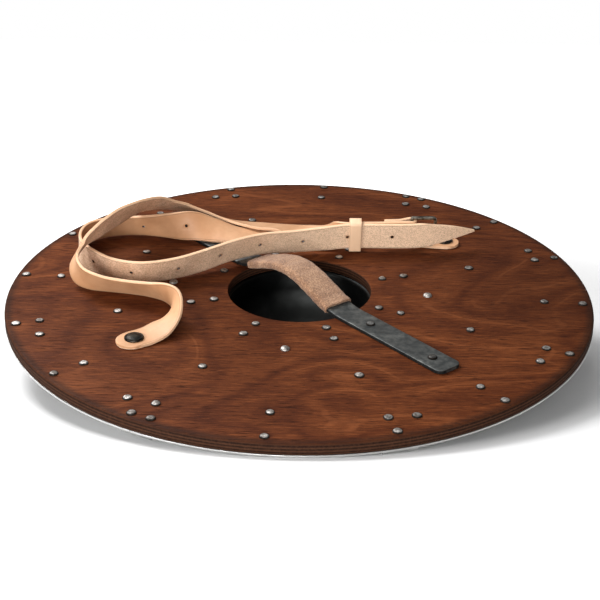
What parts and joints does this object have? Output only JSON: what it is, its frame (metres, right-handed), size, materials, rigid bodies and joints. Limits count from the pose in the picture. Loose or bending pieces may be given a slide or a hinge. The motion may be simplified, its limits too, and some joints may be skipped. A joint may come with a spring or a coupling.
{
  "type": "round viking shield",
  "caption": "Round plank shield with a domed steel boss, riveted rim band, arched iron hand grip and buckled leather carrying strap.",
  "frame": {"origin": "tip of the boss, under the middle of the disc", "axes": "+Z out of the back, the grip side; +Y away from a viewer of the picture, +X to the right"},
  "size_m": [0.6004, 0.6004, 0.1437],
  "materials": {
    "stained_wood": "satin",
    "steel": "satin",
    "rivet_steel": "hammered",
    "grip_iron": "forged",
    "sleeve_suede": "suede",
    "strap_leather": "natural",
    "buckle_metal": "aged",
    "dark_metal": "satin"
  },
  "bodies": {
    "shield": {"board": "stained_wood", "boss": "steel", "rim_half_1": "steel", "rim_half_2": "steel", "radial_strap_1": "steel", "radial_strap_2": "steel", "radial_strap_3": "steel", "radial_strap_4": "steel", "radial_strap_5": "steel", "radial_strap_6": "steel", "radial_strap_7": "steel", "radial_strap_8": "steel", "front_stud_1": "steel", "front_stud_2": "steel", "front_stud_3": "steel", "front_stud_4": "steel", "boss_rivet_1": "rivet_steel", "boss_rivet_2": "rivet_steel", "boss_rivet_3": "rivet_steel", "boss_rivet_4": "rivet_steel", "boss_rivet_5": "rivet_steel", "boss_rivet_6": "rivet_steel", "boss_rivet_7": "rivet_steel", "boss_rivet_8": "rivet_steel", "strap_inner_rivet_1": "rivet_steel", "strap_inner_rivet_2": "rivet_steel", "strap_inner_rivet_3": "rivet_steel", "strap_inner_rivet_4": "rivet_steel", "strap_inner_rivet_5": "rivet_steel", "strap_inner_rivet_6": "rivet_steel", "strap_inner_rivet_7": "rivet_steel", "strap_inner_rivet_8": "rivet_steel", "strap_middle_rivet_1": "rivet_steel", "strap_middle_rivet_2": "rivet_steel", "strap_middle_rivet_3": "rivet_steel", "strap_middle_rivet_4": "rivet_steel", "strap_middle_rivet_5": "rivet_steel", "strap_middle_rivet_6": "rivet_steel", "strap_middle_rivet_7": "rivet_steel", "strap_middle_rivet_8": "rivet_steel", "grip_rivet_1": "rivet_steel", "grip_rivet_2": "rivet_steel", "grip_rivet_3": "rivet_steel", "grip_rivet_4": "rivet_steel", "grip_bar": "grip_iron", "grip_sleeve": "sleeve_suede", "buckle_strap": "strap_leather", "hole_strap": "strap_leather", "strap_rivet_1": "dark_metal", "strap_rivet_2": "dark_metal", "fold_rivet": "dark_metal"},
    "keeper_loop": {"keeper": "strap_leather"},
    "buckle": {"buckle_frame": "buckle_metal"},
    "prong": {"buckle_prong": "buckle_metal"}
  },
  "joints": [
    {"name": "keeper_slide", "type": "slide", "parent": "shield", "child": "keeper_loop", "axis": [1, 0, 0], "range_m": [0, 0.012]},
    {"name": "buckle_swing", "type": "hinge", "parent": "shield", "child": "buckle", "pos_m": [0.12135, 0.10069, 0.09997], "axis": [0.0125, -0.2416, 0.9703], "range_deg": [0, 75]},
    {"name": "prong_swing", "type": "hinge", "parent": "buckle", "child": "prong", "pos_m": [0.12135, 0.10069, 0.09997], "axis": [0.0125, -0.2416, 0.9703], "range_deg": [0, 60]}
  ]
}
